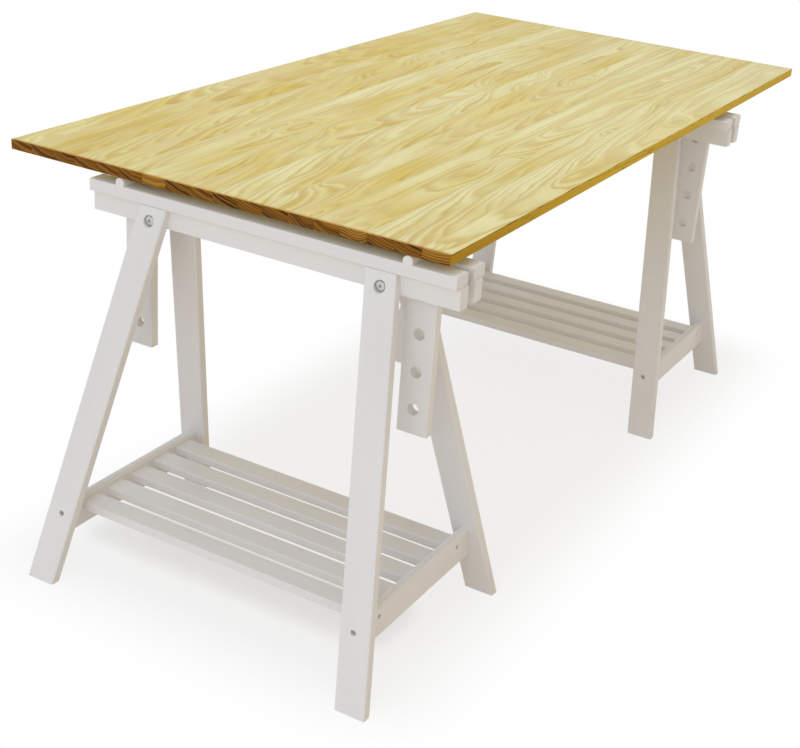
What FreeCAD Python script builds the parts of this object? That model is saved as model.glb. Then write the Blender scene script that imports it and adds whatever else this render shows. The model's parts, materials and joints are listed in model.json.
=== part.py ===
import FreeCAD, Part
import math
import os

os.makedirs("parts", exist_ok=True)

Vector = FreeCAD.Vector

# Driving sizes, in millimetres

# Panel that lies on the trestles
table_length = 1700.0
table_width = 860.0
table_thickness = 18.0
table_edge_round = 1.5
table_end_setback = 2.0
table_front_setback = 15.0

# Two trestles under the panel
trestle_distance = 1200.0
foot_depth = 453.0
foot_spacing = 641.0

# Lower frame
rail_length = 700.0
rail_height = 35.0
rail_thickness = 24.0
rail_top = 661.0
rail_edge_round = 1.2
leg_width = 55.0
leg_thickness = 18.0
leg_edge_round = 3.0
leg_top_gap = 0.1
bolt_from_rail_end = 129.0
bolt_above_rail_bottom = 12.0
spacer_length = 26.0

# Lifting frame
strip_end_inset = 1.0
strip_height = 21.0
strip_width = 35.0
strip_edge_round = 1.8
post_width = 55.0
post_thickness = 18.0
post_from_rail_end = 75.5
post_below_last_hole = 42.5
post_edge_round = 2.0
post_side_clearance = 1.0
lift_shift = 2.0
rest_bar_width = 17.0
rest_bar_notch = 10.0
rest_bar_proud = 13.0
rest_bar_offset = 10.0
rest_bar_round = 7.6

# Peg holes in the posts
peg_hole_diameter = 20.0
peg_hole_count = 4
peg_hole_pitch = 64.0
first_hole_below_rail_top = 36.5

# Shelf
cross_rail_height = 54.0
cross_rail_thickness = 18.0
cross_rail_top = 143.0
cross_rail_inset = 4.4
cross_rail_round = 6.0
slat_count = 5
slat_width = 40.0
slat_thickness = 16.0
slat_drop = 9.0
slat_edge_round = 2.0

# Fasteners
bolt_diameter = 8.0
bolt_head_diameter = 16.0
bolt_head_height = 4.5
bolt_seat_thickness = 9.5
bolt_recess_diameter = 20.0
hex_key_size = 5.0
hex_key_depth = 3.5
sleeve_diameter = 11.0
sleeve_end_margin = 2.0
leg_screw_diameter = 5.0
leg_screw_head_diameter = 9.0
leg_screw_bite = 24.0
leg_screw_recess = 6.0
slat_screw_diameter = 4.0
slat_screw_head_diameter = 7.0
slat_screw_length = 46.0
slat_screw_recess = 2.0
screw_head_height = 3.0
cross_slot_width = 1.2
cross_slot_depth = 1.5
cross_slot_margin = 1.5
slat_dowel_diameter = 8.0
slat_dowel_in_rail = 12.0
slat_dowel_in_slat = 24.0
post_dowel_diameter = 6.0
post_dowel_length = 58.0

# Clearances between fitted pieces
hole_clearance = 0.4
dowel_clearance = 0.3
head_clearance = 0.5

# Sizes that follow from the ones above

post_gap = post_thickness + 2 * post_side_clearance
strip_inner = post_thickness / 2
strip_outer = strip_inner + strip_width
rail_inner = post_gap / 2
rail_outer = rail_inner + rail_thickness
rail_bottom = rail_top - rail_height
strip_top = rail_top + strip_height
table_underside = strip_top + rest_bar_proud
bar_bottom = strip_top - rest_bar_notch
strip_length = rail_length - 2 * strip_end_inset
post_spacing = rail_length - 2 * post_from_rail_end
last_hole_below_rail_top = first_hole_below_rail_top + (peg_hole_count - 1) * peg_hole_pitch
post_bottom = rail_top - last_hole_below_rail_top - post_below_last_hole
post_length = bar_bottom - post_bottom
bolt_spacing = rail_length - 2 * bolt_from_rail_end
bolt_height = rail_bottom + bolt_above_rail_bottom
bolt_seat = rail_outer + bolt_seat_thickness
sleeve_end = rail_inner + sleeve_end_margin
bolt_tip = (bolt_seat + sleeve_end) / 2

leg_slope_out = (foot_depth / 2 - strip_outer) / rail_top
leg_slope_side = (foot_spacing - bolt_spacing) / 2 / bolt_height
leg_angle = math.atan(leg_slope_out)
foot_reach = foot_depth / 2
foot_side = foot_spacing / 2 + leg_width * math.sqrt(1 + leg_slope_side ** 2) / 2

slat_top = cross_rail_top - slat_drop
slat_middle = slat_top - slat_thickness / 2
cross_rail_bottom = cross_rail_top - cross_rail_height
cross_rail_middle = (cross_rail_top + cross_rail_bottom) / 2
leg_side_at_shelf = bolt_spacing / 2 + leg_slope_side * (bolt_height - cross_rail_middle)
cross_rail_spacing = 2 * (leg_side_at_shelf - cross_rail_inset)
slat_length = cross_rail_spacing - cross_rail_thickness

# Place of the trestles: the origin is on the floor under the middle of the whole table
strip_front_end = lift_shift - strip_length / 2
table_front = strip_front_end + table_front_setback
table_rear = table_front + table_width
table_left = table_end_setback - strip_outer
table_right = table_left + table_length
left_reach = max(foot_reach, strip_outer, -table_left)
right_reach = max(table_right, trestle_distance + foot_reach)
side_near = min(strip_front_end, table_front, -foot_side)
side_far = max(lift_shift + strip_length / 2, table_rear, foot_side)
left_x = (left_reach - right_reach) / 2
right_x = left_x + trestle_distance
trestle_y = -(side_near + side_far) / 2


def leg_face(height):
    """Distance of a leg's outer face from the trestle's middle plane at a height."""
    return strip_outer + leg_slope_out * (rail_top - height)


def leg_inside(height):
    """Distance of a leg's inner face from the trestle's middle plane at a height."""
    return leg_face(height) - leg_thickness / math.cos(leg_angle)


def block(x_size, y_size, z_size, centre):
    """A plain block about its centre."""
    corner = centre - Vector(x_size / 2, y_size / 2, z_size / 2)
    return Part.makeBox(x_size, y_size, z_size, corner)


def edges_along(shape, axis):
    """Straight edges of a shape that run along one axis."""
    found = []
    for edge in shape.Edges:
        run = edge.lastVertex().Point - edge.firstVertex().Point
        if run.Length > 0 and abs(run.normalize().dot(axis)) > 0.9999:
            found.append(edge)
    return found


def eased_block(x_size, y_size, z_size, centre, axis, radius):
    """A block with its long edges rounded over."""
    board = block(x_size, y_size, z_size, centre)
    return board.makeFillet(radius, edges_along(board, axis))


def rod(diameter, start, end):
    """A round rod or hole between two points."""
    return Part.makeCylinder(diameter / 2, (end - start).Length, start, end - start)


def hex_key(start, end):
    """The six-sided pocket for a key, between two points."""
    along = end - start
    corner_radius = hex_key_size / math.sqrt(3)
    side = Vector(0, 0, 1) if abs(along.z) < abs(along.x) + abs(along.y) else Vector(1, 0, 0)
    other = along.cross(side).normalize()
    corners = []
    for step in range(7):
        turn = math.radians(60 * step)
        corners.append(start + (side * math.cos(turn) + other * math.sin(turn)) * corner_radius)
    return Part.Face(Part.makePolygon(corners)).extrude(along)


def mirrored(shape, x_side, y_side):
    """The shape on the chosen sides of the trestle's two middle planes."""
    if x_side < 0:
        shape = shape.mirror(Vector(0, 0, 0), Vector(1, 0, 0))
    if y_side < 0:
        shape = shape.mirror(Vector(0, 0, 0), Vector(0, 1, 0))
    return shape


def make_leg(x_side, y_side):
    """A tilted board, cut level at the foot and seated on the rail's upright face."""
    up = Vector(-leg_slope_out, -leg_slope_side, 1).normalize()
    out = Vector(math.cos(leg_angle), 0, math.sin(leg_angle))
    across = up.cross(out)
    anchor = Vector(leg_face(bolt_height), bolt_spacing / 2, bolt_height)
    uncut_length = 3 * rail_top
    board = eased_block(leg_thickness, leg_width, uncut_length, Vector(-leg_thickness / 2, 0, 0),
                        Vector(0, 0, 1), leg_edge_round)
    board.Placement = FreeCAD.Placement(FreeCAD.Matrix(
        out.x, across.x, up.x, anchor.x,
        out.y, across.y, up.y, anchor.y,
        out.z, across.z, up.z, anchor.z,
        0, 0, 0, 1))
    reach = 2 * foot_depth
    height = rail_top - leg_top_gap
    leg = board.common(Part.makeBox(reach, foot_spacing, height, Vector(rail_outer, 0, 0)))
    bolt_line = Vector(0, bolt_spacing / 2, bolt_height)
    leg = leg.cut(rod(bolt_diameter + 2 * hole_clearance, bolt_line, bolt_line + Vector(reach, 0, 0)))
    leg = leg.cut(rod(bolt_recess_diameter,
                      bolt_line + Vector(bolt_seat, 0, 0), bolt_line + Vector(reach, 0, 0)))
    if x_side > 0:
        sleeve_hole = sleeve_diameter + 2 * hole_clearance
        leg = leg.cut(rod(sleeve_hole, bolt_line, bolt_line + Vector(reach, 0, 0)))
    screw_line = Vector(0, cross_rail_spacing / 2, slat_middle)
    screw_seat = leg_face(slat_middle) - leg_screw_recess
    leg = leg.cut(rod(leg_screw_diameter + 2 * hole_clearance,
                      screw_line, screw_line + Vector(reach, 0, 0)))
    leg = leg.cut(rod(leg_screw_head_diameter + 2 * head_clearance,
                      screw_line + Vector(screw_seat, 0, 0), screw_line + Vector(reach, 0, 0)))
    return mirrored(leg, x_side, y_side)


def make_rail(x_side):
    """One of the two long rails, drilled for the bolts."""
    centre = Vector((rail_inner + rail_outer) / 2, 0, (rail_top + rail_bottom) / 2)
    rail = eased_block(rail_thickness, rail_length, rail_height, centre, Vector(0, 1, 0), rail_edge_round)
    drill = bolt_diameter if x_side < 0 else sleeve_diameter
    for y_side in (-1, 1):
        start = Vector(0, y_side * bolt_spacing / 2, bolt_height)
        rail = rail.cut(rod(drill + 2 * hole_clearance, start, start + Vector(foot_depth, 0, 0)))
    return mirrored(rail, x_side, 1)


def make_spacers():
    """Two blocks that hold the rails apart and keep the posts in line."""
    pieces = []
    for y_side in (-1, 1):
        centre = Vector(0, y_side * bolt_spacing / 2, (rail_top + rail_bottom) / 2)
        piece = block(post_gap, spacer_length, rail_height, centre)
        start = Vector(-post_gap, y_side * bolt_spacing / 2, bolt_height)
        piece = piece.cut(rod(bolt_diameter + 2 * hole_clearance,
                              start, start + Vector(2 * post_gap, 0, 0)))
        pieces.append(piece)
    return pieces


def make_bolts():
    """Two through bolts with a six-sided pocket, headed at the outer legs."""
    pieces = []
    for y_side in (-1, 1):
        line = Vector(0, y_side * bolt_spacing / 2, bolt_height)
        head_start = line - Vector(bolt_seat, 0, 0)
        head_end = head_start - Vector(bolt_head_height, 0, 0)
        head = rod(bolt_head_diameter, head_start, head_end)
        bolt = head.fuse(rod(bolt_diameter, head_start, line + Vector(bolt_tip, 0, 0)))
        bolt = bolt.cut(hex_key(head_end, head_end + Vector(hex_key_depth, 0, 0)))
        pieces.append(bolt)
    return pieces


def make_sleeve_nuts():
    """Two sleeve nuts with the same head, at the inner legs."""
    pieces = []
    for y_side in (-1, 1):
        line = Vector(0, y_side * bolt_spacing / 2, bolt_height)
        head_start = line + Vector(bolt_seat, 0, 0)
        head_end = head_start + Vector(bolt_head_height, 0, 0)
        nut = rod(bolt_head_diameter, head_start, head_end)
        nut = nut.fuse(rod(sleeve_diameter, line + Vector(sleeve_end, 0, 0), head_start))
        nut = nut.cut(rod(bolt_diameter + 2 * dowel_clearance, line, head_start))
        nut = nut.cut(hex_key(head_end, head_end - Vector(hex_key_depth, 0, 0)))
        pieces.append(nut)
    return pieces


def make_cross_rail(y_side):
    """A board on edge between two legs, its ends cut to the legs' slope."""
    corners = [
        Vector(-leg_inside(cross_rail_bottom), 0, cross_rail_bottom),
        Vector(leg_inside(cross_rail_bottom), 0, cross_rail_bottom),
        Vector(leg_inside(cross_rail_top), 0, cross_rail_top),
        Vector(-leg_inside(cross_rail_top), 0, cross_rail_top),
    ]
    outline = Part.Face(Part.makePolygon(corners + corners[:1]))
    rail = outline.extrude(Vector(0, cross_rail_thickness, 0))
    rail.translate(Vector(0, (cross_rail_spacing - cross_rail_thickness) / 2, 0))
    top_edges = [edge for edge in edges_along(rail, Vector(1, 0, 0))
                 if edge.CenterOfMass.z > cross_rail_middle]
    rail = rail.makeFillet(cross_rail_round, top_edges)
    middle = cross_rail_spacing / 2
    for x_side in (-1, 1):
        line = Vector(0, middle, slat_middle)
        screw_tip = leg_inside(slat_middle) - leg_screw_bite
        rail = rail.cut(rod(leg_screw_diameter + 2 * hole_clearance,
                            line + Vector(x_side * (screw_tip - hole_clearance), 0, 0),
                            line + Vector(x_side * foot_depth, 0, 0)))
    outside = middle + cross_rail_thickness / 2
    inside = middle - cross_rail_thickness / 2
    for number, x in enumerate(slat_places()):
        line = Vector(x, 0, slat_middle)
        if number in (0, slat_count - 1):
            rail = rail.cut(rod(slat_screw_diameter + 2 * hole_clearance,
                                line, line + Vector(0, 2 * middle, 0)))
            rail = rail.cut(rod(slat_screw_head_diameter + 2 * head_clearance,
                                line + Vector(0, outside - slat_screw_recess - screw_head_height, 0),
                                line + Vector(0, 2 * middle, 0)))
        else:
            depth = slat_dowel_in_rail + dowel_clearance
            rail = rail.cut(rod(slat_dowel_diameter + 2 * dowel_clearance,
                                line, line + Vector(0, inside + depth, 0)))
    return mirrored(rail, 1, y_side)


def slat_places():
    """Middle line of each slat, with even gaps between the legs."""
    room = 2 * leg_inside(slat_middle)
    pitch = slat_width + (room - slat_count * slat_width) / (slat_count + 1)
    return [(number - (slat_count - 1) / 2) * pitch for number in range(slat_count)]


def make_slat(number):
    """One shelf slat, drilled at both ends for its screws or dowels."""
    x = slat_places()[number]
    slat = eased_block(slat_width, slat_length, slat_thickness, Vector(x, 0, slat_middle),
                       Vector(0, 1, 0), slat_edge_round)
    end = slat_length / 2
    if number in (0, slat_count - 1):
        head_seat = end + cross_rail_thickness - slat_screw_recess - screw_head_height
        hole = slat_screw_diameter + 2 * hole_clearance
        bottom = head_seat - slat_screw_length - hole_clearance
    else:
        hole = slat_dowel_diameter + 2 * dowel_clearance
        bottom = end - slat_dowel_in_slat - dowel_clearance
    for y_side in (-1, 1):
        slat = slat.cut(rod(hole, Vector(x, y_side * bottom, slat_middle),
                            Vector(x, y_side * (end + slat_width), slat_middle)))
    return slat


def make_screw(seat, direction, shank, head, length):
    """A flat-headed screw with a crossed slot, from its head's seat inwards."""
    top = seat - direction * screw_head_height
    screw = rod(head, top, seat).fuse(rod(shank, seat, seat + direction * length))
    across = direction.cross(Vector(0, 0, 1))
    for slot_line, other in ((across, Vector(0, 0, 1)), (Vector(0, 0, 1), across)):
        half = slot_line * (head / 2 - cross_slot_margin)
        side = other * (cross_slot_width / 2)
        corners = [top - half - side, top + half - side, top + half + side, top - half + side]
        outline = Part.Face(Part.makePolygon(corners + corners[:1]))
        screw = screw.cut(outline.extrude(direction * cross_slot_depth))
    return screw


def make_leg_screws():
    """Four screws, one through each leg into the end of a cross rail."""
    pieces = []
    for x_side in (-1, 1):
        for y_side in (-1, 1):
            seat_x = leg_face(slat_middle) - leg_screw_recess
            length = seat_x - leg_inside(slat_middle) + leg_screw_bite
            seat = Vector(x_side * seat_x, y_side * cross_rail_spacing / 2, slat_middle)
            pieces.append(make_screw(seat, Vector(-x_side, 0, 0), leg_screw_diameter,
                                     leg_screw_head_diameter, length))
    return pieces


def make_slat_screws():
    """Four screws through the cross rails into the first and last slats."""
    pieces = []
    outside = (cross_rail_spacing + cross_rail_thickness) / 2
    for x in (slat_places()[0], slat_places()[-1]):
        for y_side in (-1, 1):
            seat_y = outside - slat_screw_recess - screw_head_height
            seat = Vector(x, y_side * seat_y, slat_middle)
            pieces.append(make_screw(seat, Vector(0, -y_side, 0), slat_screw_diameter,
                                     slat_screw_head_diameter, slat_screw_length))
    return pieces


def make_slat_dowels():
    """Wooden dowels that join the middle slats to the cross rails."""
    pieces = []
    end = slat_length / 2
    for x in slat_places()[1:-1]:
        for y_side in (-1, 1):
            pieces.append(rod(slat_dowel_diameter,
                              Vector(x, y_side * (end - slat_dowel_in_slat), slat_middle),
                              Vector(x, y_side * (end + slat_dowel_in_rail), slat_middle)))
    return pieces


def post_places():
    """Middle line of the front and the rear post along the trestle."""
    return [lift_shift - post_spacing / 2, lift_shift + post_spacing / 2]


def make_strip(x_side):
    """A top strip, notched for the rest bars and drilled for the post dowels."""
    centre = Vector((strip_inner + strip_outer) / 2, lift_shift, (rail_top + strip_top) / 2)
    strip = eased_block(strip_width, strip_length, strip_height, centre,
                        Vector(0, 1, 0), strip_edge_round)
    for y in post_places():
        notch_centre = Vector(centre.x, y + rest_bar_offset, strip_top)
        strip = strip.cut(block(2 * strip_width, rest_bar_width, 2 * rest_bar_notch, notch_centre))
        dowel_line = Vector(0, y - rest_bar_offset / 2, (rail_top + bar_bottom) / 2)
        depth = post_dowel_length / 2 + dowel_clearance
        strip = strip.cut(rod(post_dowel_diameter + 2 * dowel_clearance, dowel_line,
                              dowel_line + Vector(depth, 0, 0)))
    return mirrored(strip, x_side, 1)


def make_post(y):
    """A post that hangs between the rails, with its row of peg holes."""
    centre = Vector(0, y, bar_bottom - post_length / 2)
    post = eased_block(post_thickness, post_width, post_length, centre, Vector(0, 0, 1), post_edge_round)
    through = Vector(post_thickness, 0, 0)
    for number in range(peg_hole_count):
        height = rail_top - first_hole_below_rail_top - number * peg_hole_pitch
        hole_centre = Vector(0, y, height)
        post = post.cut(rod(peg_hole_diameter, hole_centre - through, hole_centre + through))
    dowel_line = Vector(0, y - rest_bar_offset / 2, (rail_top + bar_bottom) / 2)
    post = post.cut(rod(post_dowel_diameter + 2 * dowel_clearance,
                        dowel_line - through, dowel_line + through))
    return post


def make_post_dowels():
    """Thin dowels through both strips and each post."""
    pieces = []
    for y in post_places():
        line = Vector(0, y - rest_bar_offset / 2, (rail_top + bar_bottom) / 2)
        half = Vector(post_dowel_length / 2, 0, 0)
        pieces.append(rod(post_dowel_diameter, line - half, line + half))
    return pieces


def make_rest_bar(y):
    """A bar with a rounded top, let into both strips over a post."""
    height = rest_bar_notch + rest_bar_proud
    centre = Vector(0, y + rest_bar_offset, bar_bottom + height / 2)
    bar = block(2 * strip_outer, rest_bar_width, height, centre)
    top_edges = [edge for edge in edges_along(bar, Vector(1, 0, 0))
                 if edge.CenterOfMass.z > centre.z]
    return bar.makeFillet(min(rest_bar_round, rest_bar_width * 0.45), top_edges)


def make_table():
    """The loose panel, its corners and edges slightly eased."""
    centre = Vector((table_left + table_right) / 2, (table_front + table_rear) / 2,
                    table_underside + table_thickness / 2)
    panel = block(table_length, table_width, table_thickness, centre)
    return panel.makeFillet(table_edge_round, panel.Edges)


def save(name, pieces, place):
    """Write one node, moved from the trestle's frame to the table's frame."""
    if not isinstance(pieces, list):
        pieces = [pieces]
    solids = []
    for piece in pieces:
        for solid in piece.Solids:
            moved = solid.copy()
            moved.translate(place)
            solids.append(moved)
    shape = solids[0] if len(solids) == 1 else Part.makeCompound(solids)
    shape.exportStep("parts/" + name + ".step")
    print(name, len(solids), "solids", round(sum(solid.Volume for solid in solids)), "cubic mm")


def make_trestle():
    """All pieces of one trestle by name."""
    front_post, rear_post = post_places()
    pieces = {
        "outer_rail": make_rail(-1),
        "inner_rail": make_rail(1),
        "rail_spacers": make_spacers(),
        "leg_bolts": make_bolts(),
        "sleeve_nuts": make_sleeve_nuts(),
        "front_cross_rail": make_cross_rail(-1),
        "rear_cross_rail": make_cross_rail(1),
        "leg_screws": make_leg_screws(),
        "slat_screws": make_slat_screws(),
        "slat_dowels": make_slat_dowels(),
        "outer_strip": make_strip(-1),
        "inner_strip": make_strip(1),
        "front_post": make_post(front_post),
        "rear_post": make_post(rear_post),
        "front_rest_bar": make_rest_bar(front_post),
        "rear_rest_bar": make_rest_bar(rear_post),
        "post_dowels": make_post_dowels(),
    }
    for x_name, x_side in (("outer", -1), ("inner", 1)):
        for y_name, y_side in (("front", -1), ("rear", 1)):
            pieces[x_name + "_" + y_name + "_leg"] = make_leg(x_side, y_side)
    for number in range(slat_count):
        pieces["shelf_slat_" + str(number + 1)] = make_slat(number)
    return pieces


trestle = make_trestle()
for side_name, side_x in (("left", left_x), ("right", right_x)):
    for piece_name, piece in trestle.items():
        save(side_name + "_" + piece_name, piece, Vector(side_x, trestle_y, 0))
save("tabletop", make_table(), Vector(left_x, trestle_y, 0))
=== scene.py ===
# %% [markdown]
# # A trestle table
# A loose pine panel lies on two white painted trestles with slatted shelves.
# The measured solids come in first as a fixed frame. The painted boards already have
# their true shapes there, so they stay and only get a finish. The glued panel, the
# bolts and the screws are modelled again in finer form, each in the place of its solid.

# %% Load the frame
import json
import math

import bmesh
import bpy
import numpy as np
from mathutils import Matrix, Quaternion, Vector

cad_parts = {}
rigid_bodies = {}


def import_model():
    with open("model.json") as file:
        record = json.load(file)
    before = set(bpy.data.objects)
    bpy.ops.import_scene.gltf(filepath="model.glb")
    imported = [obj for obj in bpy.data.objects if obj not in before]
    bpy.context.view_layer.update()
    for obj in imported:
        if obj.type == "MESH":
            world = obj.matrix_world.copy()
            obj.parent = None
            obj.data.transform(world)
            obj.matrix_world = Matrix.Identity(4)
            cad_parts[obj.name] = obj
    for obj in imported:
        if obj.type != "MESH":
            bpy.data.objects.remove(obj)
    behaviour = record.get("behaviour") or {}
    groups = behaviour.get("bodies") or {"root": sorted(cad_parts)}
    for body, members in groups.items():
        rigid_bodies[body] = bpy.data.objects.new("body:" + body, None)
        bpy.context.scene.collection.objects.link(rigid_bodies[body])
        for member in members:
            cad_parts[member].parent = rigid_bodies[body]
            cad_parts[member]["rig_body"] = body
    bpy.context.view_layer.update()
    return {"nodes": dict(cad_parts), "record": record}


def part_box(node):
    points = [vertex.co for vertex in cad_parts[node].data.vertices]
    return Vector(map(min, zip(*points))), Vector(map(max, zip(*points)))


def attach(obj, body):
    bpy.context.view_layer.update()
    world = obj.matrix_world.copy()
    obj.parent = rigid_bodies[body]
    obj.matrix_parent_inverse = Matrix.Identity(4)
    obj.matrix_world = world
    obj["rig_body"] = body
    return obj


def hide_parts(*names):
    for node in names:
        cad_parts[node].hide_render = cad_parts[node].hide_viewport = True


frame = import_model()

# %% [markdown]
# ## Working by hand in code
# An operator works on whatever is selected, and the frame arrives selected.
# So each piece starts with nothing selected, and inside edit mode the wanted points or
# faces are picked by a rule about their place or the way they face.

# %% Selection helpers
def start_fresh():
    """Leave edit mode and deselect everything."""
    if bpy.context.object and bpy.context.object.mode != "OBJECT":
        bpy.ops.object.mode_set(mode="OBJECT")
    bpy.ops.object.select_all(action="DESELECT")


def apply_place(piece):
    """Put a piece's place, turn and size into its mesh, so that its object sits at the origin."""
    start_fresh()
    piece.select_set(True)
    bpy.context.view_layer.objects.active = piece
    bpy.ops.object.transform_apply(location=True, rotation=True, scale=True)


def pick_points(piece, rule):
    """In edit mode, select the points whose place passes a rule."""
    bpy.ops.mesh.select_mode(type="VERT")
    bpy.ops.mesh.select_all(action="DESELECT")
    mesh = bmesh.from_edit_mesh(piece.data)
    for point in mesh.verts:
        point.select_set(rule(point.co))
    mesh.select_flush_mode()
    bmesh.update_edit_mesh(piece.data)


def pick_faces(piece, rule):
    """In edit mode, select the faces whose outward direction passes a rule."""
    bpy.ops.mesh.select_mode(type="FACE")
    bpy.ops.mesh.select_all(action="DESELECT")
    mesh = bmesh.from_edit_mesh(piece.data)
    for face in mesh.faces:
        face.select_set(rule(face.normal))
    bmesh.update_edit_mesh(piece.data)


print("helpers ready")

# %% [markdown]
# ## The panel
# The panel is glued up edge to edge from eighteen pine staves of one width.
# Eighteen separate boards would do, but glue makes them one piece, so one block is
# eased along its edges, cut across at every glue joint, and each joint is pressed in
# to a groove a fraction of a millimetre deep, as sanding leaves it.

# %% Panel block
stave_count = 18
panel_edge_round = 0.0015
round_steps = 4
panel_low, panel_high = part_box("tabletop")
panel_size = panel_high - panel_low
panel_middle = (panel_low + panel_high) / 2
stave_width = panel_size.y / stave_count

start_fresh()
bpy.ops.mesh.primitive_cube_add(size=1, location=panel_middle)
panel = bpy.context.object
panel.name = "pine_panel"
panel.scale = panel_size
apply_place(panel)
bpy.ops.object.mode_set(mode="EDIT")
bpy.ops.mesh.select_all(action="SELECT")
bpy.ops.mesh.bevel(offset=panel_edge_round, segments=round_steps, affect="EDGES")
print("panel block:", [round(side, 4) for side in panel_size], "staves of", round(stave_width, 4))

# %% Glue joints
joint_half_width = 0.0003
joint_depth = 0.0002
same_place = 0.00002
smooth_limit = math.radians(35)
glue_joints = [panel_low.y + stave_width * number for number in range(1, stave_count)]


def on_glue_joint(place):
    """True for a point that lies in the plane of a glue joint."""
    return min(abs(place.y - joint) for joint in glue_joints) < same_place


for joint in glue_joints:
    bpy.ops.mesh.select_all(action="SELECT")
    bpy.ops.mesh.bisect(plane_co=(0, joint, 0), plane_no=(0, 1, 0))
pick_points(panel, on_glue_joint)
bpy.ops.mesh.bevel(offset=joint_half_width, segments=2, affect="EDGES")
pick_points(panel, on_glue_joint)
press = [1 - 2 * joint_depth / panel_size.x, 1, 1 - 2 * joint_depth / panel_size.z]
bpy.ops.transform.resize(value=press, center_override=panel_middle)
bpy.ops.object.mode_set(mode="OBJECT")
bpy.ops.object.shade_smooth_by_angle(angle=smooth_limit)
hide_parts("tabletop")
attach(panel, "tabletop")
print("panel:", len(panel.data.polygons), "faces,", len(glue_joints), "glue joints")

# %% [markdown]
# ## Bolts and sleeve nuts
# Each leg is held to its rail by a furniture bolt with a flat head and a six-sided key
# hole, sunk in a round recess. A lathe would turn it from one bar, so the model starts as
# a disc, gets a rounded rim, and its shank is drawn out of the back of the head.
# The key hole is cut with a six-sided prism.
# A bolt is made once, lying along X with its head at the origin, and then copied.

# %% Round parts
round_sides = 48
nearly_along = 0.9


def along_x(centre_x, **sizes):
    """Add a prism or disc that lies along X, centred on a place on that axis."""
    start_fresh()
    bpy.ops.mesh.primitive_cylinder_add(
        location=(centre_x, 0, 0), rotation=(0, math.pi / 2, 0), **sizes)
    piece = bpy.context.object
    apply_place(piece)
    return piece


def cut_away(piece, cutter):
    """Subtract one piece from another and remove the cutter."""
    start_fresh()
    bpy.context.view_layer.objects.active = piece
    cut = piece.modifiers.new("cut", "BOOLEAN")
    cut.object = cutter
    cut.solver = "EXACT"
    bpy.ops.object.modifier_apply(modifier=cut.name)
    bpy.data.objects.remove(cutter)


def headed_pin(head_diameter, head_height, rim_round, shank_diameter, length):
    """A round head with an eased rim and a plain shank behind it."""
    pin = along_x(head_height / 2, vertices=round_sides, radius=head_diameter / 2,
                  depth=head_height)
    bpy.ops.object.mode_set(mode="EDIT")
    pick_faces(pin, lambda facing: facing.x < -nearly_along)
    bpy.ops.mesh.bevel(offset=rim_round, segments=round_steps, affect="EDGES")
    pick_faces(pin, lambda facing: facing.x > nearly_along)
    bpy.ops.mesh.inset(thickness=(head_diameter - shank_diameter) / 2)
    bpy.ops.mesh.extrude_region_move(
        TRANSFORM_OT_translate={"value": (length - head_height, 0, 0)})
    bpy.ops.object.mode_set(mode="OBJECT")
    return pin


print("round parts have", round_sides, "sides")

# %% One bolt and its copies
bolt_rim_round = 0.0012
bolt_head_height = 0.0045
key_size = 0.005
key_depth = 0.0035


def make_bolt(head_diameter, shank_diameter, length):
    """A furniture bolt with a six-sided key hole."""
    bolt = headed_pin(head_diameter, bolt_head_height, bolt_rim_round, shank_diameter, length)
    key = along_x(0, vertices=6, radius=key_size / math.sqrt(3), depth=2 * key_depth)
    cut_away(bolt, key)
    return bolt


def place_copies(pattern, name, places):
    """Copy a pattern to places, each with a turn about Z, and join the copies to one piece."""
    copies = []
    for place, turn in places:
        copy = bpy.data.objects.new(name, pattern.data.copy())
        bpy.context.scene.collection.objects.link(copy)
        copy.location = place
        copy.rotation_euler.z = turn
        apply_place(copy)
        copies.append(copy)
    start_fresh()
    for copy in copies:
        copy.select_set(True)
    bpy.context.view_layer.objects.active = copies[0]
    bpy.ops.object.join()
    bpy.ops.object.shade_smooth_by_angle(angle=smooth_limit)
    copies[0].name = name
    bpy.data.objects.remove(pattern)
    return copies[0]


print("bolt pattern ready, rim", bolt_rim_round)

# %% Bolts and nuts in place
bolt_diameter = 0.008
sleeve_diameter = 0.011
facing_left = 0
facing_right = math.pi
fasteners = []


def stands_for(piece, node):
    """Let a fastener take the place of its solid and ride with it."""
    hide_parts(node)
    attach(piece, frame["nodes"][node]["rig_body"])
    fasteners.append(piece)


def row_along_y(low, high, x, turn):
    """The two places of a pair of fasteners, worked out from the pair's box."""
    radius = (high.z - low.z) / 2
    middle = (high.z + low.z) / 2
    return [((x, low.y + radius, middle), turn), ((x, high.y - radius, middle), turn)]


for side in ("left", "right"):
    low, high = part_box(side + "_leg_bolts")
    bolt = make_bolt(high.z - low.z, bolt_diameter, high.x - low.x)
    places = row_along_y(low, high, low.x, facing_left)
    stands_for(place_copies(bolt, side + "_furniture_bolts", places), side + "_leg_bolts")
    low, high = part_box(side + "_sleeve_nuts")
    nut = make_bolt(high.z - low.z, sleeve_diameter, high.x - low.x)
    places = row_along_y(low, high, high.x, facing_right)
    stands_for(place_copies(nut, side + "_furniture_nuts", places), side + "_sleeve_nuts")
print("bolts and nuts:", [piece.name for piece in fasteners])

# %% [markdown]
# ## Screws
# Small cross-slotted screws hold the legs and the outer slats to the cross rails.
# A bump in the finish could draw the slots, but the mesh would then lack them. So they are
# cut by two crossed wedges that narrow towards the shank, as a driver's tip does, and the
# end of the shank is drawn to a point.

# %% One screw
slot_width = 0.0012
slot_depth = 0.0018
slot_margin = 0.0012
slot_taper = 0.6
screw_head_height = 0.003
screw_rim_round = 0.0006
screw_tip_length = 0.006
screw_tip_taper = 0.2


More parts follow.
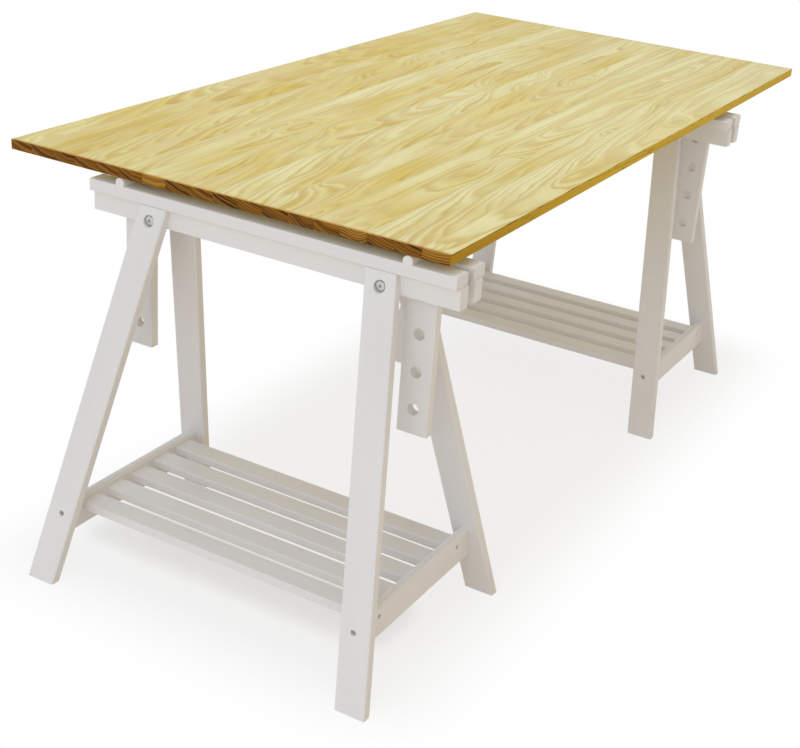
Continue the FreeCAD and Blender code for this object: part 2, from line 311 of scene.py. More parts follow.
def slot_wedge(span, upright):
    """A bar across the head, narrowed towards the shank."""
    start_fresh()
    bpy.ops.mesh.primitive_cube_add(size=1)
    wedge = bpy.context.object
    wedge.scale = (2 * slot_depth, slot_width, span)
    apply_place(wedge)
    bpy.ops.object.mode_set(mode="EDIT")
    pick_faces(wedge, lambda facing: facing.x > nearly_along)
    bpy.ops.transform.resize(value=(1, slot_taper, slot_taper), center_override=(slot_depth, 0, 0))
    bpy.ops.object.mode_set(mode="OBJECT")
    wedge.rotation_euler.x = 0 if upright else math.pi / 2
    apply_place(wedge)
    return wedge


def make_screw(head_diameter, shank_diameter, length):
    """A wood screw with a crossed slot and a pointed tip."""
    straight_length = length - screw_tip_length
    screw = headed_pin(head_diameter, screw_head_height, screw_rim_round, shank_diameter,
                       straight_length)
    bpy.ops.object.mode_set(mode="EDIT")
    pick_points(screw, lambda place: place.x > straight_length - same_place)
    bpy.ops.mesh.extrude_region_move(TRANSFORM_OT_translate={"value": (screw_tip_length, 0, 0)})
    narrowed = (1, screw_tip_taper, screw_tip_taper)
    bpy.ops.transform.resize(value=narrowed, center_override=(length, 0, 0))
    bpy.ops.object.mode_set(mode="OBJECT")
    for upright in (True, False):
        cut_away(screw, slot_wedge(head_diameter - 2 * slot_margin, upright))
    return screw


print("screw pattern ready, slots", slot_width, "wide")

# %% Screws in place
leg_screw_diameter = 0.005
leg_screw_length = 0.0395
slat_screw_diameter = 0.004
slat_screw_length = 0.049
facing_front = math.pi / 2
facing_rear = -math.pi / 2


def row_along_x(low, high, y, turn):
    """The two places of a pair of screws that face the front or the rear."""
    radius = (high.z - low.z) / 2
    middle = (high.z + low.z) / 2
    return [((low.x + radius, y, middle), turn), ((high.x - radius, y, middle), turn)]


for side in ("left", "right"):
    low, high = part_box(side + "_leg_screws")
    screw = make_screw(high.z - low.z, leg_screw_diameter, leg_screw_length)
    places = row_along_y(low, high, low.x, facing_left)
    places += row_along_y(low, high, high.x, facing_right)
    stands_for(place_copies(screw, side + "_leg_wood_screws", places), side + "_leg_screws")
    low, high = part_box(side + "_slat_screws")
    screw = make_screw(high.z - low.z, slat_screw_diameter, slat_screw_length)
    places = row_along_x(low, high, low.y, facing_front)
    places += row_along_x(low, high, high.y, facing_rear)
    stands_for(place_copies(screw, side + "_slat_wood_screws", places), side + "_slat_screws")
print("fasteners:", len(fasteners), "pieces")

# %% [markdown]
# ## Building finishes from nodes
# A finish is a small tree of nodes. Writing each node and link out in full is long, so
# a few helpers add a node with its inputs in one line. An input is a plain value or the
# output of another node.

# %% Node helpers
def add_node(tree, kind, inputs=None, **settings):
    """Add one shader node, set its options, and set or link its inputs."""
    node = tree.nodes.new("ShaderNode" + kind)
    for name, value in settings.items():
        setattr(node, name, value)
    for socket, value in (inputs or {}).items():
        if isinstance(value, bpy.types.NodeSocket):
            tree.links.new(value, node.inputs[socket])
        else:
            node.inputs[socket].default_value = value
    return node


def work_out(tree, operation, *values):
    """The output of a Math node on sockets or plain numbers."""
    return add_node(tree, "Math", dict(enumerate(values)), operation=operation).outputs[0]


def vector_math(tree, operation, *values):
    """The outputs of a Vector Math node on sockets or plain vectors."""
    return add_node(tree, "VectorMath", dict(enumerate(values)), operation=operation).outputs


def beyond(tree, value, low, high):
    """A share from 0 to 1 as a value goes from one level to another."""
    return add_node(tree, "MapRange", {0: value, 1: low, 2: high}).outputs[0]


def blend_colours(tree, share, first, second):
    """Mix two colours by a share, where each is a socket or a plain colour."""
    mix = add_node(tree, "Mix", {0: share, 6: first, 7: second}, data_type="RGBA")
    return mix.outputs[2]


def noise_along(tree, place, stretch, detail=2.0, roughness=0.5):
    """Soft noise, from 0 to 1, with its own fineness along each axis."""
    scaled = add_node(tree, "Mapping", {"Vector": place, "Scale": stretch}).outputs[0]
    inputs = {"Vector": scaled, "Scale": 1.0, "Detail": detail, "Roughness": roughness}
    return add_node(tree, "TexNoise", inputs).outputs[0]


print("node helpers ready")

# %% Groups, finishes and colours
def new_group(name, inputs, outputs):
    """A shader node group with named number or vector inputs and number outputs."""
    group = bpy.data.node_groups.new(name, "ShaderNodeTree")
    for socket, kind in inputs.items():
        group.interface.new_socket(socket, in_out="INPUT", socket_type="NodeSocket" + kind)
    for socket in outputs:
        group.interface.new_socket(socket, in_out="OUTPUT", socket_type="NodeSocketFloat")
    way_in = group.nodes.new("NodeGroupInput")
    way_out = group.nodes.new("NodeGroupOutput")
    return group, way_in.outputs, way_out.inputs


def new_finish(name):
    """An empty material with one Principled shader joined to its output."""
    finish = bpy.data.materials.new(name)
    finish.use_nodes = True
    tree = finish.node_tree
    tree.nodes.clear()
    shader = add_node(tree, "BsdfPrincipled")
    add_node(tree, "OutputMaterial", {"Surface": shader.outputs[0]})
    return finish, tree, shader


def add_relief(tree, shader, height, strength, distance):
    """Let a height bend the light on a surface, as ridges too fine to model do."""
    inputs = {"Height": height, "Strength": strength, "Distance": distance}
    bump = add_node(tree, "Bump", inputs)
    tree.links.new(bump.outputs[0], shader.inputs["Normal"])


def srgb(red, green, blue):
    """A screen colour, from 0 to 255, in the linear numbers that a shader takes."""
    def linear(value):
        value = value / 255
        return value / 12.92 if value <= 0.04045 else ((value + 0.055) / 1.055) ** 2.4
    return (linear(red), linear(green), linear(blue), 1.0)


print("mid grey in linear numbers:", round(srgb(128, 128, 128)[0], 3))

# %% [markdown]
# ## Growth rings
# A stave shows the yearly rings of its log. On the end they are arcs about the log's
# heart, and along the face they are stripes, or pointed flames where the log tapers.
# A picture of grain would not agree from face to face. Here the distance from a leaning
# heart line is worked out in space, so the ends and the faces show the same rings.
# Noise makes the rings wander. Here and there a branch once grew out of the log, and the
# rings bulge around its place as a swirl or a closed eye.

# %% Branch group
branch_spacing = 0.55
branch_unevenness = 0.5
branch_scatter = 0.04
branch_step = 53.1
swirl_length = 0.06
swirl_width = 0.016


def make_branch_group():
    """How much a branch that grew nearby pushes the rings aside, from -1 to 1."""
    inputs = {"Along": "Float", "Across": "Float", "Seed": "Float"}
    group, given, result = new_group("branch_swirl", inputs, ["Swirl"])
    place = work_out(group, "DIVIDE", given["Along"], branch_spacing)
    place = work_out(group, "MULTIPLY_ADD", given["Seed"], branch_step, place)
    spread = {"W": place, "Scale": 1.0, "Randomness": branch_unevenness}
    branch = add_node(group, "TexVoronoi", spread, voronoi_dimensions="1D").outputs
    draw = add_node(group, "SeparateColor", {0: branch["Color"]}).outputs
    scatter = work_out(group, "SUBTRACT", draw[0], 0.5)
    aside = work_out(group, "MULTIPLY_ADD", scatter, -branch_scatter, given["Across"])
    far_along = work_out(group, "MULTIPLY", branch["Distance"], branch_spacing / swirl_length)
    far_across = work_out(group, "DIVIDE", aside, swirl_width)
    far = work_out(group, "MULTIPLY", far_across, far_across)
    far = work_out(group, "MULTIPLY_ADD", far_along, far_along, far)
    bulge = work_out(group, "EXPONENT", work_out(group, "MULTIPLY", far, -1))
    size = work_out(group, "MULTIPLY_ADD", draw[1], 2, -1)
    group.links.new(work_out(group, "MULTIPLY", bulge, size), result["Swirl"])
    return group


branch_swirl = make_branch_group()
print("branch swirl:", len(branch_swirl.nodes), "nodes")

# %% Distance from the heart
wander_scale, wander_height = (1.6, 4, 4), 0.024
ripple_scale, ripple_height = (8, 45, 45), 0.0047
swirl_height = 0.0115


def heart_radius(group, given):
    """Distance from the heart line of the log, which leans away from the stave."""
    heart = work_out(group, "MULTIPLY_ADD", given["Along"], given["Lean"], given["Heart Distance"])
    across = work_out(group, "MULTIPLY", heart, work_out(group, "COSINE", given["Heart Angle"]))
    depth = work_out(group, "MULTIPLY", heart, work_out(group, "SINE", given["Heart Angle"]))
    across = work_out(group, "SUBTRACT", given["Across"], across)
    depth = work_out(group, "SUBTRACT", given["Depth"], depth)
    squares = work_out(group, "MULTIPLY", depth, depth)
    squares = work_out(group, "MULTIPLY_ADD", across, across, squares)
    return work_out(group, "SQRT", squares)


def grown_radius(group, given, place):
    """The same distance as the tree grew it: wandering, rippled and pushed by branches."""
    wander = work_out(group, "SUBTRACT", noise_along(group, place, wander_scale), 0.5)
    ripple = work_out(group, "SUBTRACT", noise_along(group, place, ripple_scale), 0.5)
    swirl_inputs = {name: given[name] for name in ("Along", "Across", "Seed")}
    swirl = add_node(group, "Group", swirl_inputs, node_tree=branch_swirl).outputs["Swirl"]
    radius = work_out(group, "MULTIPLY_ADD", wander, wander_height, heart_radius(group, given))
    radius = work_out(group, "MULTIPLY_ADD", ripple, ripple_height, radius)
    return work_out(group, "MULTIPLY_ADD", swirl, swirl_height, radius)


print("rings wander by up to", wander_height / 2, "m to either side")

# %% Growth ring group
ring_profile = [(0.0, 0.5), (0.14, 0.06), (0.3, 0.1), (0.6, 0.66), (0.86, 1.0), (1.0, 0.5)]
ring_unevenness, uneven_scale = 1.6, 0.6
faintest_ring = 0.4
year_step = 17.3
layer_step = 3.7
fibre_scale, resin_scale, streak_scale = (6, 420, 420), (3.2, 22, 22), (4, 60, 60)


def late_wood(group, given, radius):
    """How dark the wood is, from pale early wood to dark late wood in every year's ring."""
    year = work_out(group, "DIVIDE", radius, given["Ring Width"])
    year = work_out(group, "MULTIPLY_ADD", given["Seed"], year_step, year)
    slow = {"W": year, "Scale": uneven_scale, "Detail": 1.0}
    uneven = add_node(group, "TexNoise", slow, noise_dimensions="1D").outputs[0]
    year = work_out(group, "MULTIPLY_ADD", uneven, ring_unevenness, year)
    profile = add_node(group, "ValToRGB", {0: work_out(group, "FRACT", year)})
    ramp = profile.color_ramp.elements
    while len(ramp) < len(ring_profile):
        ramp.new(0.5)
    for stop, (position, tone) in zip(ramp, ring_profile):
        stop.position = position
        stop.color = (tone, tone, tone, 1)
    whole_year = {"W": work_out(group, "FLOOR", year)}
    weather = add_node(group, "TexWhiteNoise", whole_year, noise_dimensions="1D").outputs[0]
    strength = work_out(group, "MULTIPLY_ADD", weather, 1 - faintest_ring, faintest_ring)
    return work_out(group, "MULTIPLY", profile.outputs[0], strength)


def make_ring_group():
    """Rings of a leaning log: its late wood, its fibres, its resin and its thin streaks."""
    names = ["Along", "Across", "Depth", "Heart Angle", "Heart Distance", "Lean", "Ring Width", "Seed"]
    outputs = ["Late Wood", "Fibre", "Resin", "Streak"]
    group, given, result = new_group("growth_rings", dict.fromkeys(names, "Float"), outputs)
    layer = work_out(group, "MULTIPLY_ADD", given["Seed"], layer_step, given["Depth"])
    straight = {0: given["Along"], 1: given["Across"], 2: layer}
    place = add_node(group, "CombineXYZ", straight).outputs[0]
    radius = grown_radius(group, given, place)
    own_layer = work_out(group, "MULTIPLY", given["Seed"], layer_step)
    along_rings = {0: given["Along"], 1: radius, 2: own_layer}
    curved = add_node(group, "CombineXYZ", along_rings).outputs[0]
    group.links.new(late_wood(group, given, radius), result["Late Wood"])
    group.links.new(noise_along(group, place, fibre_scale, 3.0), result["Fibre"])
    group.links.new(noise_along(group, curved, resin_scale, 3.0), result["Resin"])
    group.links.new(noise_along(group, curved, streak_scale), result["Streak"])
    return group


growth_rings = make_ring_group()
print("growth rings:", len(growth_rings.nodes), "nodes")

# %% [markdown]
# ## A log for every stave
# Each stave was sawn from a log of its own. So the stave's number, counted across the
# panel, draws the place of the heart, its lean and the width of the rings. At the left end
# the rings of most staves lie at one low slant, and a few staves have level rings there.
# Further in, each stave turns its own way.

# %% Draws for each stave
log_seed, board_seed, flat_seed = 231.23, 189.39, 120.177
flat_low, flat_high = 0.55, 0.7
end_slant, flat_turn = 0.59 * math.pi, -0.09 * math.pi
turn_length = 1.2
turn_start, turn_range = 0.09 * math.pi, -0.3 * math.pi
heart_at_end, heart_change, heart_range = 0.1, -0.04, 0.06
lean_range = 0.05
narrow_ring, ring_width_range = 0.0035, 0.0021


def draw_for(tree, stave, seed):
    """Random draws, as a value and a colour, that are the same all over one stave."""
    place = {"W": work_out(tree, "ADD", stave, seed)}
    return add_node(tree, "TexWhiteNoise", place, noise_dimensions="1D").outputs


def stave_rings(tree, axes, from_end):
    """The rings of the stave at a place, the stave's own draws, and whether its rings lie level."""
    from_front = work_out(tree, "SUBTRACT", axes[1], panel_low.y)
    stave = work_out(tree, "FLOOR", work_out(tree, "DIVIDE", from_front, stave_width))
    stave_centre = work_out(tree, "MULTIPLY_ADD", stave, stave_width, stave_width / 2)
    log = draw_for(tree, stave, log_seed)
    log_draw = add_node(tree, "SeparateColor", {0: log["Color"]}).outputs
    board = draw_for(tree, stave, board_seed)
    board_draw = add_node(tree, "SeparateColor", {0: board["Color"]}).outputs
    flat = beyond(tree, draw_for(tree, stave, flat_seed)["Value"], flat_low, flat_high)
    inward = beyond(tree, from_end, 0, turn_length)
    slant = work_out(tree, "MULTIPLY_ADD", flat, flat_turn, end_slant)
    turn = work_out(tree, "MULTIPLY_ADD", log_draw[0], turn_range, turn_start)
    heart = work_out(tree, "MULTIPLY_ADD", inward, heart_change, heart_at_end)
    lean = work_out(tree, "SUBTRACT", log_draw[2], 0.5)
    ring_inputs = {
        "Along": axes[0],
        "Across": work_out(tree, "SUBTRACT", from_front, stave_centre),
        "Depth": work_out(tree, "SUBTRACT", axes[2], panel_middle.z),
        "Heart Angle": work_out(tree, "MULTIPLY_ADD", turn, inward, slant),
        "Heart Distance": work_out(tree, "MULTIPLY_ADD", log_draw[1], heart_range, heart),
        "Lean": work_out(tree, "MULTIPLY", lean, lean_range),
        "Ring Width": work_out(tree, "MULTIPLY_ADD", board_draw[0], ring_width_range, narrow_ring),
        "Seed": log["Value"],
    }
    rings = add_node(tree, "Group", ring_inputs, node_tree=growth_rings).outputs
    return rings, board_draw, flat


print("rings", narrow_ring, "to", narrow_ring + ring_width_range, "m wide")

# %% [markdown]
# ## Varnished pine
# The panel is pale yellow pine under clear varnish. Its faces are clouded with gold along
# the rings, its long edges took more varnish and turned golden, and its sawn ends drank it
# and turned brown. One colour ramp can't give all that, so three colourings are made from
# the same rings, and the way a surface looks chooses between them.
# A little of the brown also creeps round the left arris onto the faces.

# %% Colours of the faces
pale_early, golden_early = srgb(235, 229, 174), srgb(220, 197, 96)
pale_late, golden_late = srgb(205, 174, 78), srgb(198, 160, 62)
streak_tone = srgb(219, 200, 138)
fibre_tone = srgb(236, 227, 172)
seep_tone = srgb(188, 128, 14)
gold_of_stave = 0.2
gold_low, gold_high = 0.46, 0.8
streak_low, streak_high = 0.5, 0.9
fibre_share = 0.12
seep_reach = 0.008


def face_colour(tree, rings, board_draw, from_end):
    """Early and late wood, clouded with gold, with streaks, fibres and brown at the left arris."""
    golden = work_out(tree, "MULTIPLY_ADD", board_draw[1], gold_of_stave, rings["Resin"])
    golden = beyond(tree, golden, gold_low, gold_high)
    early = blend_colours(tree, golden, pale_early, golden_early)
    late = blend_colours(tree, golden, pale_late, golden_late)
    face = blend_colours(tree, rings["Late Wood"], early, late)
    streak = beyond(tree, rings["Streak"], streak_low, streak_high)
    face = blend_colours(tree, streak, face, streak_tone)
    fibre = work_out(tree, "MULTIPLY", rings["Fibre"], fibre_share)
    face = blend_colours(tree, fibre, face, fibre_tone)
    seep = beyond(tree, from_end, seep_reach, 0)
    return blend_colours(tree, seep, face, seep_tone)


print("brown reaches", seep_reach, "m in from the left end")

# %% Colours of the sawn ends and the long edges
sawn_early, sawn_late = srgb(158, 107, 30), srgb(66, 32, 5)
flat_early, flat_late = srgb(182, 134, 50), srgb(104, 64, 18)
sawn_darkest = 0.6
edge_early, edge_late = srgb(232, 201, 72), srgb(200, 162, 50)
thick_tone, stain_tone = srgb(184, 137, 30), srgb(112, 66, 16)
thick_reach, thick_share = 0.6, 0.85
fleck_scale = (25, 60, 260)
stain_reach = 0.003
stain_push, stain_push_thick = 0.16, 0.3
stain_low, stain_high = 0.6, 0.85


def sawn_colour(tree, late, flat):
    """Brown end grain, paler in the staves whose rings lie level."""
    early_tone = blend_colours(tree, flat, sawn_early, flat_early)
    late_tone = blend_colours(tree, flat, sawn_late, flat_late)
    return blend_colours(tree, beyond(tree, late, 0, sawn_darkest), early_tone, late_tone)


def edge_colour(tree, place, height, late, from_end):
    """Golden edges with thicker varnish towards the left and dark flecks along the top."""
    edge = blend_colours(tree, late, edge_early, edge_late)
    fleck = noise_along(tree, place, fleck_scale, 3.0)
    near_top = beyond(tree, height, panel_high.z - stain_reach, panel_high.z)
    thick = work_out(tree, "MULTIPLY", beyond(tree, from_end, thick_reach, 0), thick_share)
    push = work_out(tree, "MULTIPLY_ADD", thick, stain_push_thick, stain_push)
    stain = work_out(tree, "MULTIPLY_ADD", near_top, push, fleck)
    edge = blend_colours(tree, thick, edge, thick_tone)
    return blend_colours(tree, beyond(tree, stain, stain_low, stain_high), edge, stain_tone)


print("flecks within", stain_reach, "m of the top arris")

# %% Pine finish
square_on = 0.7
varnish_specular = 0.12
varnish_roughness, late_gloss = 0.46, -0.08
edge_dullness, end_dullness = 0.3, 0.15
fibre_relief = 0.4
pine_bump, pine_bump_height = 0.1, 0.00015


def make_pine_finish():
    """Edge-glued pine with its own rings in each stave."""
    finish, tree, shader = new_finish("varnished_pine")
    coordinates = add_node(tree, "TexCoord").outputs
    axes = add_node(tree, "SeparateXYZ", {0: coordinates["Object"]}).outputs
    from_end = work_out(tree, "SUBTRACT", axes[0], panel_low.x)
    rings, board_draw, flat = stave_rings(tree, axes, from_end)
    late = rings["Late Wood"]
    facing = add_node(tree, "SeparateXYZ", {0: coordinates["Normal"]}).outputs
    is_edge = work_out(tree, "GREATER_THAN", work_out(tree, "ABSOLUTE", facing[1]), square_on)
    is_end = work_out(tree, "GREATER_THAN", work_out(tree, "ABSOLUTE", facing[0]), square_on)
    colour = face_colour(tree, rings, board_draw, from_end)
    edge = edge_colour(tree, coordinates["Object"], axes[2], late, from_end)
    colour = blend_colours(tree, is_edge, colour, edge)
    colour = blend_colours(tree, is_end, colour, sawn_colour(tree, late, flat))
    tree.links.new(colour, shader.inputs["Base Color"])
    shader.inputs["Specular IOR Level"].default_value = varnish_specular
    rough = work_out(tree, "MULTIPLY_ADD", late, late_gloss, varnish_roughness)
    rough = work_out(tree, "MULTIPLY_ADD", is_edge, edge_dullness, rough)
    rough = work_out(tree, "MULTIPLY_ADD", is_end, end_dullness, rough)
    tree.links.new(rough, shader.inputs["Roughness"])
    relief = work_out(tree, "MULTIPLY_ADD", rings["Fibre"], fibre_relief, late)
    add_relief(tree, shader, relief, pine_bump, pine_bump_height)
    return finish


panel.data.materials.append(make_pine_finish())
print("pine finish on", panel.name)

# %% [markdown]
# ## White paint
# The trestles are sprayed with white satin paint. Through it the grain still shows as
# faint ridges along each board, the film has a fine orange-peel texture, and it thins on
# the arrises, where a warmer tone comes through. A plain white would look like plastic.
# Each board's long direction turns the pattern, so the ridges run up the legs and along
# the rails.

# %% Paint groups
slow_scale, ridge_scale, film_scale = (14, 14, 3), (240, 240, 5), (700, 700, 700)
film_in_tone, film_in_relief = 0.3, 0.6
arris_turn = 0.8


def make_paint_group():
    """Paint on wood: a slow change of tone, the ridges of the grain and the film's own texture."""
    group, given, result = new_group("paint_on_wood", {"Place": "Vector"}, ["Tone", "Relief"])
    slow = noise_along(group, given["Place"], slow_scale)
    ridges = noise_along(group, given["Place"], ridge_scale, 3.0, 0.6)
    film = noise_along(group, given["Place"], film_scale, 1.0)
    tone = work_out(group, "MULTIPLY_ADD", film, film_in_tone, slow)
    relief = work_out(group, "MULTIPLY_ADD", film, film_in_relief, ridges)
    group.links.new(tone, result["Tone"])
    group.links.new(relief, result["Relief"])
    return group


def make_arris_group():
    """A mask of the outer edges, from how far a rounded normal turns from the real one."""
    group, given, result = new_group("thin_arris", {"Reach": "Float"}, ["Edge"])
    rounded = add_node(group, "Bevel", {"Radius": given["Reach"]}, samples=6).outputs[0]
    true = add_node(group, "NewGeometry").outputs["Normal"]
    same = vector_math(group, "DOT_PRODUCT", rounded, true)["Value"]
    group.links.new(beyond(group, same, 1, arris_turn), result["Edge"])
    return group


paint_on_wood = make_paint_group()
thin_arris = make_arris_group()
print("paint groups:", len(paint_on_wood.nodes), "and", len(thin_arris.nodes), "nodes")

# %% White paint for each direction
paint_light, paint_shade = srgb(237, 236, 236), srgb(231, 230, 230)
thin_paint, thin_share, thin_reach = srgb(222, 213, 200), 0.3, 0.002
tone_low, tone_high = 0.4, 1.0
paint_roughness, paint_roughness_range = 0.38, 0.12
paint_bump, paint_bump_height = 0.07, 0.0003


def grain_direction(node):
    """The long direction of a board, from the spread of its points."""
    points = np.array([point.co for point in frame["nodes"][node].data.vertices])
    spread = np.linalg.svd(points - points.mean(0), full_matrices=False)[2][0]
    return Vector(spread if spread[2] >= 0 else -spread)


def make_paint_finish(name, direction):
    """White satin paint on a board whose grain runs in one direction."""
    finish, tree, shader = new_finish(name)
    turn = direction.rotation_difference(Vector((0, 0, 1))).to_euler()
    coordinates = add_node(tree, "TexCoord").outputs["Object"]
    turned = add_node(tree, "Mapping", {"Vector": coordinates, "Rotation": turn}).outputs[0]
    paint = add_node(tree, "Group", {"Place": turned}, node_tree=paint_on_wood).outputs
    arris = add_node(tree, "Group", {"Reach": thin_reach}, node_tree=thin_arris).outputs
    tone = beyond(tree, paint["Tone"], tone_low, tone_high)
    colour = blend_colours(tree, tone, paint_light, paint_shade)
    worn = work_out(tree, "MULTIPLY", arris["Edge"], thin_share)
    colour = blend_colours(tree, worn, colour, thin_paint)
    tree.links.new(colour, shader.inputs["Base Color"])
    rough = work_out(tree, "MULTIPLY_ADD", tone, paint_roughness_range, paint_roughness)
    tree.links.new(rough, shader.inputs["Roughness"])
    add_relief(tree, shader, paint["Relief"], paint_bump, paint_bump_height)
    return finish


paints = {}
for row in frame["record"]["subparts"]:
    if row["material_slot"] == "trestle_wood":
        direction = grain_direction(row["node"])
        key = tuple(round(part, 1) for part in direction)
        if key not in paints:
            paints[key] = make_paint_finish("white_paint_%d" % (len(paints) + 1), direction)
        frame["nodes"][row["node"]].material_slots[0].material = paints[key]
print("white paint in", len(paints), "directions")

# %% [markdown]
# ## Steel and dowels
# The fasteners are zinc-plated steel, a little cloudy and finely scratched. Noise in the
# colour and the roughness gives that lustre, where one even grey would look too new.
# The dowels that join slats, posts and strips are bare beech and stay inside their holes,
# so short flecks are enough for them.

# %% Steel finish
steel_dark, steel_light = srgb(178, 180, 182), srgb(212, 213, 212)
cloud_scale, scratch_scale = (300, 300, 300), (2500, 300, 300)
steel_roughness, steel_roughness_range = 0.24, 0.2
steel_bump, steel_bump_height = 0.15, 0.0001


def make_steel_finish():
    """Zinc-plated steel with a cloudy lustre."""
    finish, tree, shader = new_finish("zinc_plated_steel")
    place = add_node(tree, "TexCoord").outputs["Object"]
    cloud = noise_along(tree, place, cloud_scale, 3.0)
    scratch = noise_along(tree, place, scratch_scale)
    colour = blend_colours(tree, cloud, steel_dark, steel_light)
    tree.links.new(colour, shader.inputs["Base Color"])
    shader.inputs["Metallic"].default_value = 1.0
    rough = work_out(tree, "MULTIPLY_ADD", cloud, steel_roughness_range, steel_roughness)
    tree.links.new(rough, shader.inputs["Roughness"])
    add_relief(tree, shader, scratch, steel_bump, steel_bump_height)
    return finish


steel = make_steel_finish()
for piece in fasteners:
    piece.data.materials.clear()
    piece.data.materials.append(steel)
print("steel on", len(fasteners), "pieces")

# %% Dowel finish
beech_light, beech_dark = srgb(222, 196, 158), srgb(190, 152, 108)
beech_fleck_scale = (500, 500, 900)
beech_roughness, beech_roughness_range = 0.6, 0.1


def make_dowel_finish():
    """Bare beech with short flecks."""
    finish, tree, shader = new_finish("bare_beech")
    place = add_node(tree, "TexCoord").outputs["Object"]
    fleck = noise_along(tree, place, beech_fleck_scale, 3.0)
    colour = blend_colours(tree, fleck, beech_light, beech_dark)
    tree.links.new(colour, shader.inputs["Base Color"])
    rough = work_out(tree, "MULTIPLY_ADD", fleck, beech_roughness_range, beech_roughness)
    tree.links.new(rough, shader.inputs["Roughness"])
    return finish


beech = make_dowel_finish()
dowels = [row["node"] for row in frame["record"]["subparts"] if row["material_slot"] == "dowel_wood"]
for node in dowels:
    frame["nodes"][node].material_slots[0].material = beech
print("beech on", len(dowels), "nodes")

# %% [markdown]
# ## Floor
# The table stands on a white floor that runs out of the picture. To render white by light
# alone it would need so much that the paint turned white too. So what the camera and
# reflections see of it is mostly an even glow. Under the table, and more so under the left
# shelf, painted shade lowers the glow in soft-edged rectangles, and there the lit floor
# shows with its real soft shadow. The light that the floor throws back at the table comes
# from a plain warm white surface.

# %% Painted shade on the floor
# Painted shade: the glow drops inside a rectangle around the table's feet, so the floor is darker
# there.
painted_table_shade = {
    "centre": (-0.02, -0.07, 0), "half": (0.81, 0.3, 0), "fade": (0.24, 0.24, 1), "glow": 0.76}
# Painted shadow: a darker patch under the left shelf, fixed on the floor.
painted_shelf_shade = {
    "centre": (-0.7, -0.04, 0), "half": (0.035, 0.27, 0), "fade": (0.13, 0.13, 1), "glow": 0.52}


def seen_directly(tree):
    """1 for what the camera sees, also through a reflection or glass, and 0 for light."""
    path = add_node(tree, "LightPath").outputs
    seen = work_out(tree, "MAXIMUM", path["Is Camera Ray"], path["Is Glossy Ray"])
    return work_out(tree, "MAXIMUM", seen, path["Is Transmission Ray"])


def glow_around(tree, point, shade):
    """The share of glow: low inside a rectangle of painted shade on the floor, 1 well outside it."""
    offset = vector_math(tree, "SUBTRACT", point, shade["centre"])[0]
    offset = vector_math(tree, "ABSOLUTE", offset)[0]
    outside = vector_math(tree, "SUBTRACT", offset, shade["half"])[0]
    outside = vector_math(tree, "MAXIMUM", outside, (0, 0, 0))[0]
    outside = vector_math(tree, "DIVIDE", outside, shade["fade"])[0]
    away = vector_math(tree, "LENGTH", outside)["Value"]
    levels = {0: away, 1: 0.0, 2: 1.0, 3: shade["glow"], 4: 1.0}
    return add_node(tree, "MapRange", levels, interpolation_type="SMOOTHSTEP").outputs[0]


print("glow under the table", painted_table_shade["glow"], "and under the shelf", painted_shelf_shade["glow"])

# %% Floor plane
floor_size = 40.0
floor_drop = 0.0005
floor_white = (0.85, 0.85, 0.85, 1)
floor_bounce = srgb(240, 229, 212)

start_fresh()
bpy.ops.mesh.primitive_plane_add(size=floor_size, location=(0, 0, -floor_drop))
floor = bpy.context.object
floor.name = "floor"
sweep = bpy.data.materials.new("white_sweep")
sweep.use_nodes = True
tree = sweep.node_tree
tree.nodes.clear()
lit = add_node(tree, "BsdfDiffuse", {"Color": floor_white}).outputs[0]
bounce = add_node(tree, "BsdfDiffuse", {"Color": floor_bounce}).outputs[0]
glow = add_node(tree, "Emission", {"Strength": 1.0}).outputs[0]
coordinates = add_node(tree, "TexCoord").outputs["Object"]
# Painted shade under the table and the left shelf, laid over the lit floor's real shadow.
painted_shade_under_table = glow_around(tree, coordinates, painted_table_shade)
painted_shade_under_shelf = glow_around(tree, coordinates, painted_shelf_shade)
share = work_out(tree, "MINIMUM", painted_shade_under_table, painted_shade_under_shelf)
seen = add_node(tree, "MixShader", {0: share, 1: lit, 2: glow}).outputs[0]
mixed = add_node(tree, "MixShader", {0: seen_directly(tree), 1: bounce, 2: seen}).outputs[0]
add_node(tree, "OutputMaterial", {"Surface": mixed})
floor.data.materials.append(sweep)
print("floor", floor_size, "m wide")

# %% [markdown]
# ## Light
# The room gives soft light from all sides, a little blue from the left and rear, where a
# window would be, and a little warm from the right and front. One lamp can't give such
# a soft mix, so the world does. Two softboxes, one over the table and one off its left
# end, brighten the top and the legs. The backdrop that the camera sees is plain white.

# %% World
window_light = (0.71, 0.78, 0.88, 1)
room_light = (0.63, 0.54, 0.41, 1)
backdrop_white = (1, 1, 1, 1)
light_turn = 0.8

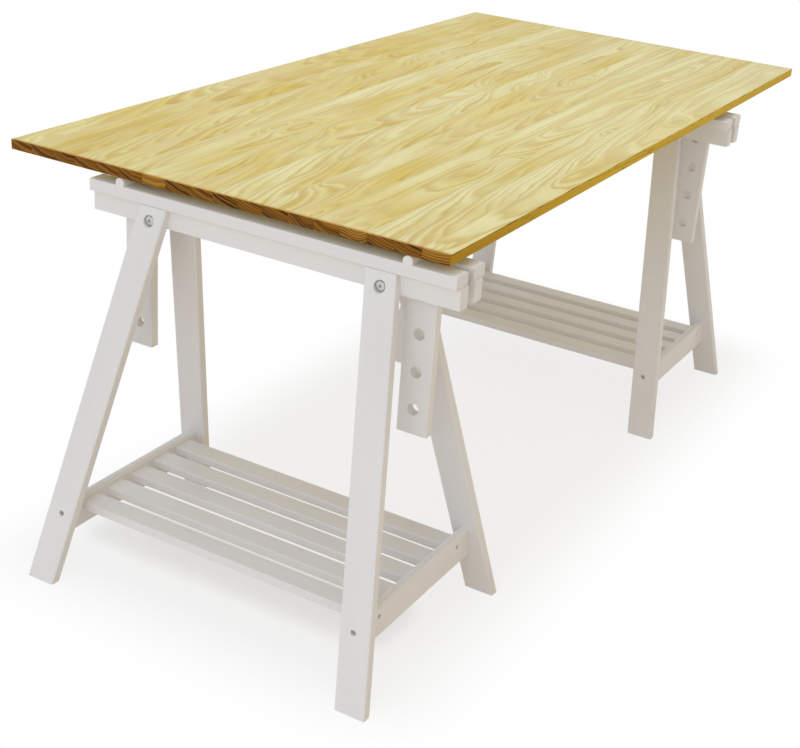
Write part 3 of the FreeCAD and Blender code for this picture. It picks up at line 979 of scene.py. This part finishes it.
world = bpy.data.worlds.new("studio")
bpy.context.scene.world = world
world.use_nodes = True
tree = world.node_tree
tree.nodes.clear()
way = add_node(tree, "SeparateXYZ", {0: add_node(tree, "TexCoord").outputs["Generated"]}).outputs
side = work_out(tree, "SUBTRACT", way[0], way[1])
warmth = beyond(tree, side, -light_turn, light_turn)
light = blend_colours(tree, warmth, window_light, room_light)
room = add_node(tree, "Background", {"Color": light, "Strength": 1.0}).outputs[0]
white = add_node(tree, "Background", {"Color": backdrop_white, "Strength": 1.0}).outputs[0]
mixed = add_node(tree, "MixShader", {0: seen_directly(tree), 1: room, 2: white}).outputs[0]
add_node(tree, "OutputWorld", {"Surface": mixed})
print("world:", len(tree.nodes), "nodes")

# %% Softboxes
def add_softbox(name, place, aim, width, power, colour):
    """A square lamp that faces a point."""
    start_fresh()
    bpy.ops.object.light_add(type="AREA", location=place)
    lamp = bpy.context.object
    lamp.name = name
    lamp.rotation_mode = "QUATERNION"
    lamp.rotation_quaternion = (Vector(aim) - Vector(place)).to_track_quat("-Z", "Y")
    lamp.data.size = width
    lamp.data.energy = power
    lamp.data.color = colour


add_softbox("ceiling_softbox", place=(0.1, 0.1, 3.3), aim=(0.1, 0, 0.7),
            width=0.8, power=18, colour=(0.88, 0.92, 1))
add_softbox("front_softbox", place=(-3.4, -0.6, 1.75), aim=(-0.5, 0, 0.45),
            width=1.4, power=12, colour=(1, 0.95, 0.92))

# %% [markdown]
# ## Camera
# The picture is taken from the front left corner, at twice the table's height, with a
# slightly rolled camera and a short telephoto lens. The place, the roll and the lens were
# fitted to corners of the boards, because a guess by eye is not close enough to compare by.

# %% Camera
camera_place = Vector((-2.5035, -1.3114, 1.4190))
camera_aim = Vector((-0.4658, -0.1926, 0.35))
camera_roll = math.radians(4.41)
camera_lens = 64.57
film_width = 36
start_fresh()
bpy.ops.object.camera_add(location=camera_place)
camera = bpy.context.object
camera.data.lens = camera_lens
camera.data.sensor_width = film_width
camera.rotation_mode = "QUATERNION"
level = (camera_aim - camera_place).to_track_quat("-Z", "Y")
camera.rotation_quaternion = level @ Quaternion((0, 0, 1), camera_roll)
bpy.context.scene.camera = camera
bpy.context.scene.view_settings.view_transform = "Standard"
print("camera", [round(part, 3) for part in camera.location], "lens", camera_lens)
